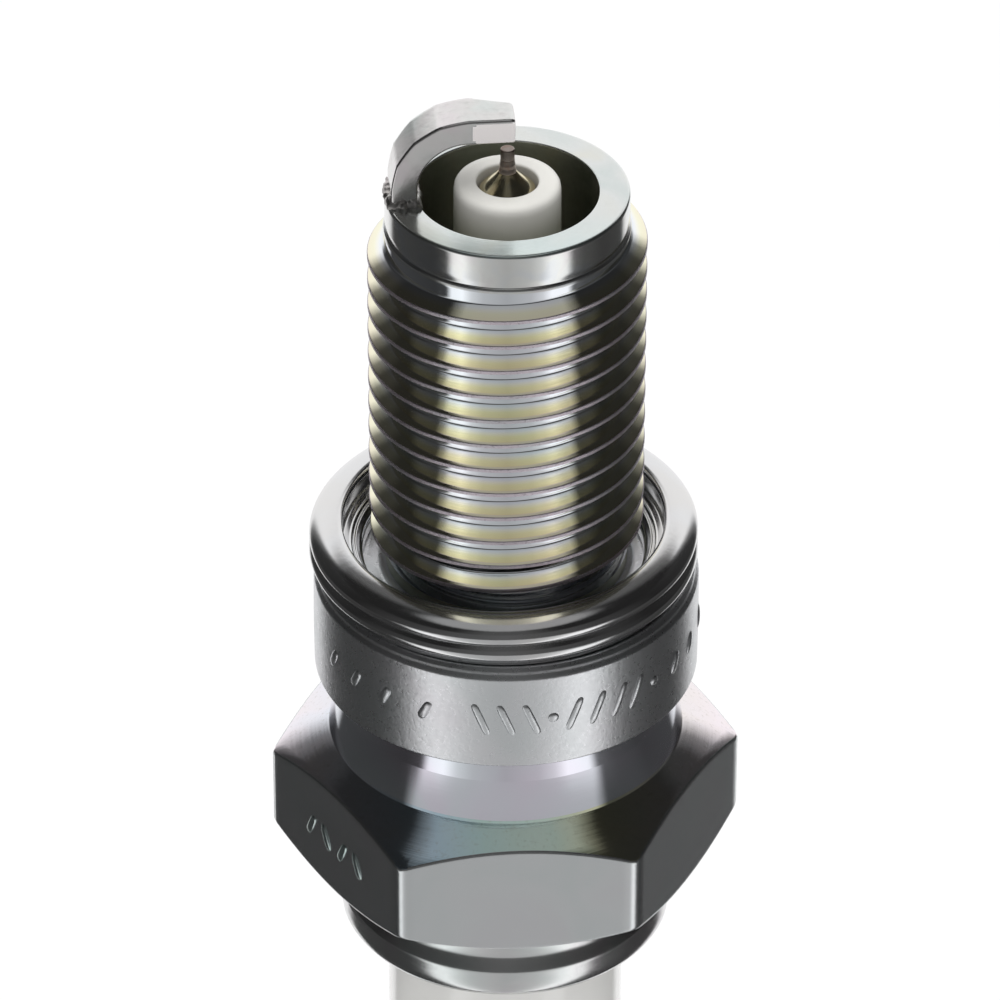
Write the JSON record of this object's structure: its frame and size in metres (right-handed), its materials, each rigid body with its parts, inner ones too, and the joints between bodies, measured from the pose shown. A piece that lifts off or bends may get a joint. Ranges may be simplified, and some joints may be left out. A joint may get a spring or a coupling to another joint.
{
  "type": "spark plug",
  "caption": "Spark plug with a 12 mm thread, 18 mm hexagon, fine-wire tip, bent ground electrode, captive gasket and a removable terminal nut.",
  "frame": {"origin": "centre of the shell's gasket seat face, on the plug's axis", "axes": "+Z along the plug's axis towards the firing end; -Y and +Y are square to one pair of the hexagon's flats"},
  "size_m": [0.0206, 0.018, 0.0761],
  "materials": {
    "plated_steel": "bright plated, slight iridescence",
    "gasket_steel": "smooth rolled, plated",
    "ground_nickel": "satin nickel alloy, plated with the shell",
    "ceramic": "satin at the nose, glazed at the head",
    "electrode_nickel": "nickel alloy, straw coloured",
    "copper": "bare copper",
    "tip_metal": "drawn precious-metal wire",
    "seal_glass": "copper-filled sealing glass, opaque",
    "resistor_body": "carbon-glass composition, matte",
    "terminal_steel": "bright plated, turned",
    "packing_steel": "soft steel, uncoated",
    "talc": "pressed powder, matte"
  },
  "bodies": {
    "plug": {"metal_shell": "plated_steel", "ground_electrode": "ground_nickel", "insulator": "ceramic", "center_electrode": "electrode_nickel", "electrode_core": "copper", "tip_weld": "electrode_nickel", "iridium_tip": "tip_metal", "lower_glass_seal": "seal_glass", "resistor": "resistor_body", "upper_glass_seal": "seal_glass", "terminal_stud": "terminal_steel", "seat_packing_washer": "packing_steel", "lower_packing_ring": "packing_steel", "upper_packing_ring": "packing_steel", "talc_fill": "talc"},
    "gasket": {"gasket": "gasket_steel"},
    "terminal_nut": {"terminal_nut": "terminal_steel"}
  },
  "joints": [
    {"name": "gasket_play", "type": "slide", "parent": "plug", "child": "gasket", "axis": [0, 0, 1], "range_m": [0, 0.0018]},
    {"name": "terminal_nut_removal", "type": "slide", "parent": "plug", "child": "terminal_nut", "axis": [0, 0, -1], "range_m": [0, 0.009]}
  ]
}
